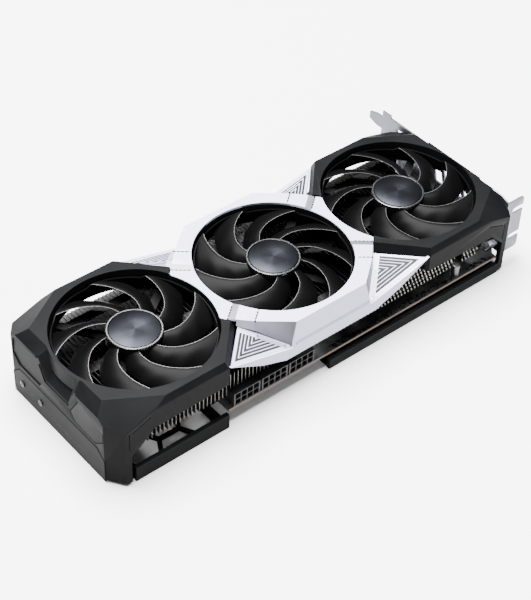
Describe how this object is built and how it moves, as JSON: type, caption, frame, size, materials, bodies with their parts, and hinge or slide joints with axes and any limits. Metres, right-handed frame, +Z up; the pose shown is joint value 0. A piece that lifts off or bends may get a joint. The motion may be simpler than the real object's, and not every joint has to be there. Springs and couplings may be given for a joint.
{
  "type": "triple-fan graphics card",
  "caption": "Long two-slot graphics card with shrouded axial fans over a fin stack, steel I/O bracket, power sockets, edge connector and an open honeycomb backplate end.",
  "frame": {"origin": "on the backplate's underside, on the middle fan's axis", "axes": "+X along the card towards the I/O bracket, +Y towards the edge connector, +Z up out of the fans"},
  "size_m": [0.3046, 0.1269, 0.05],
  "materials": {
    "dark_plastic": "satin",
    "silver_plastic": "satin metallic",
    "fan_plastic": "semi-gloss",
    "mount_plastic": "matt",
    "spun_metal": "spun",
    "steel": "brushed",
    "bracket_steel": "satin",
    "magnet": "matt",
    "iron_core": "matt",
    "bronze": "smooth",
    "fin_aluminium": "mill",
    "copper": "nickel-plated copper",
    "plate_metal": "brushed, dark",
    "back_metal": "powder coat",
    "board": "solder mask",
    "gold": "plated",
    "chip_black": "moulded",
    "substrate": "laminate",
    "silicon": "polished",
    "paste_grey": "paste",
    "pad_grey": "soft pad",
    "choke_grey": "moulded",
    "can_metal": "drawn",
    "socket_black": "moulded",
    "black_steel": "black oxide",
    "foot_rubber": "rubber"
  },
  "bodies": {
    "card": {"backplate": "back_metal", "backplate_screws": "black_steel", "bracket_screws": "steel", "bracket_shroud": "dark_plastic", "capacitors": "can_metal", "circuit_board": "board", "clamp_bracket": "black_steel", "clamp_screws": "steel", "copper_base": "copper", "corner_feet": "foot_rubber", "displayport_1": "steel", "displayport_2": "steel", "displayport_3": "steel", "edge_contacts": "gold", "end_plate": "plate_metal", "end_plate_screws": "steel", "fan_bearing_bracket": "bronze", "fan_bearing_middle": "bronze", "fan_bearing_tail": "bronze", "fan_mount_bracket": "mount_plastic", "fan_mount_middle": "mount_plastic", "fan_mount_tail": "mount_plastic", "fan_stator_bracket": "iron_core", "fan_stator_middle": "iron_core", "fan_stator_tail": "iron_core", "fin_stack_bracket": "fin_aluminium", "fin_stack_tail": "fin_aluminium", "gpu_die": "silicon", "gpu_package": "substrate", "hdmi_port": "steel", "heat_pipes": "copper", "io_bracket": "bracket_steel", "memory_chips": "chip_black", "memory_plate": "fin_aluminium", "middle_duct": "mount_plastic", "power_chokes": "choke_grey", "power_socket_1": "socket_black", "power_socket_2": "socket_black", "power_socket_3": "socket_black", "power_socket_pins": "gold", "power_stages": "chip_black", "silver_cover": "silver_plastic", "standoffs": "steel", "tail_shroud": "dark_plastic", "thermal_pads": "pad_grey", "thermal_paste": "paste_grey", "wings_front": "silver_plastic", "wings_rear": "silver_plastic"},
    "fan_tail": {"fan_rotor_tail": "fan_plastic", "fan_cap_tail": "spun_metal", "fan_shaft_tail": "steel", "fan_magnet_tail": "magnet"},
    "fan_middle": {"fan_rotor_middle": "fan_plastic", "fan_cap_middle": "spun_metal", "fan_shaft_middle": "steel", "fan_magnet_middle": "magnet"},
    "fan_bracket": {"fan_rotor_bracket": "fan_plastic", "fan_cap_bracket": "spun_metal", "fan_shaft_bracket": "steel", "fan_magnet_bracket": "magnet"}
  },
  "joints": [
    {"name": "fan_tail_spin", "type": "hinge", "parent": "card", "child": "fan_tail", "pos_m": [-0.096, 0, 0.0435], "axis": [0, 0, 1], "continuous": true},
    {"name": "fan_middle_spin", "type": "hinge", "parent": "card", "child": "fan_middle", "pos_m": [0, 0, 0.0435], "axis": [0, 0, 1], "continuous": true},
    {"name": "fan_bracket_spin", "type": "hinge", "parent": "card", "child": "fan_bracket", "pos_m": [0.096, 0, 0.0435], "axis": [0, 0, 1], "continuous": true}
  ]
}
